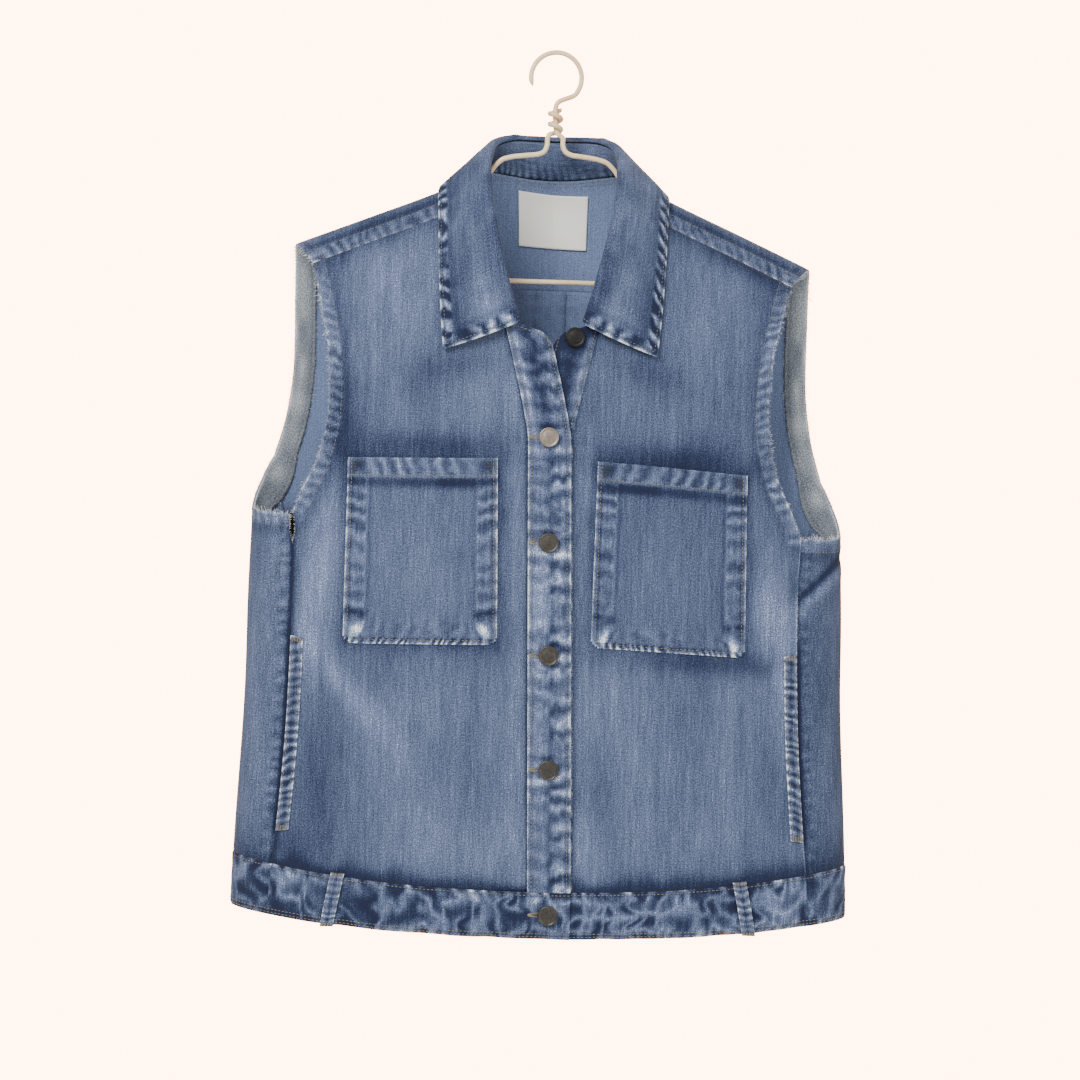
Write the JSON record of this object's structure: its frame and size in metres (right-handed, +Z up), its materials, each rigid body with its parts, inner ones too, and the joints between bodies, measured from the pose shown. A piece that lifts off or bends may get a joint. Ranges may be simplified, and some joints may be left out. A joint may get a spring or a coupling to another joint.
{
  "type": "denim vest on a wire hanger",
  "caption": "Sleeveless denim vest with a turned-down collar, buttoned front, patch chest pockets and frayed open armholes, hung from the open hook of a bent wire hanger.",
  "frame": {"origin": "the inside top of the hanger's hook, where the hook sits on a rail; the whole object hangs below it", "axes": "+Z up, the vest's longest way; the front faces -Y; +X is the wearer's left, the right of a viewer who faces the front"},
  "size_m": [0.5402, 0.1179, 0.7725],
  "materials": {
    "denim": "washed indigo denim",
    "denim_band": "washed indigo denim, faded along its folds",
    "denim_wrong_side": "pale wrong side of the denim with a frayed edge",
    "satin_label": "woven white, blank",
    "button_metal": "dark pewter with a bright rim",
    "hanger_wire": "glossy beige coating"
  },
  "bodies": {
    "root": {"front_right": "denim", "front_left": "denim", "side_right": "denim", "side_left": "denim", "back_right": "denim", "back_left": "denim", "yoke": "denim", "chest_pocket_right": "denim", "chest_pocket_left": "denim", "collar_stand": "denim", "collar_leaf": "denim", "waistband_front_right": "denim_band", "waistband_front_left": "denim_band", "waistband_back": "denim_band", "placket_over": "denim_band", "placket_under": "denim_band", "pocket_welt_right": "denim_band", "pocket_welt_left": "denim_band", "belt_loop_right": "denim_band", "belt_loop_left": "denim_band", "armhole_facing_right": "denim_wrong_side", "armhole_facing_left": "denim_wrong_side", "neck_label": "satin_label", "button_1": "button_metal", "button_2": "button_metal", "button_3": "button_metal", "button_4": "button_metal", "button_5": "button_metal", "button_top": "button_metal", "hanger_wire": "hanger_wire"}
  },
  "joints": []
}
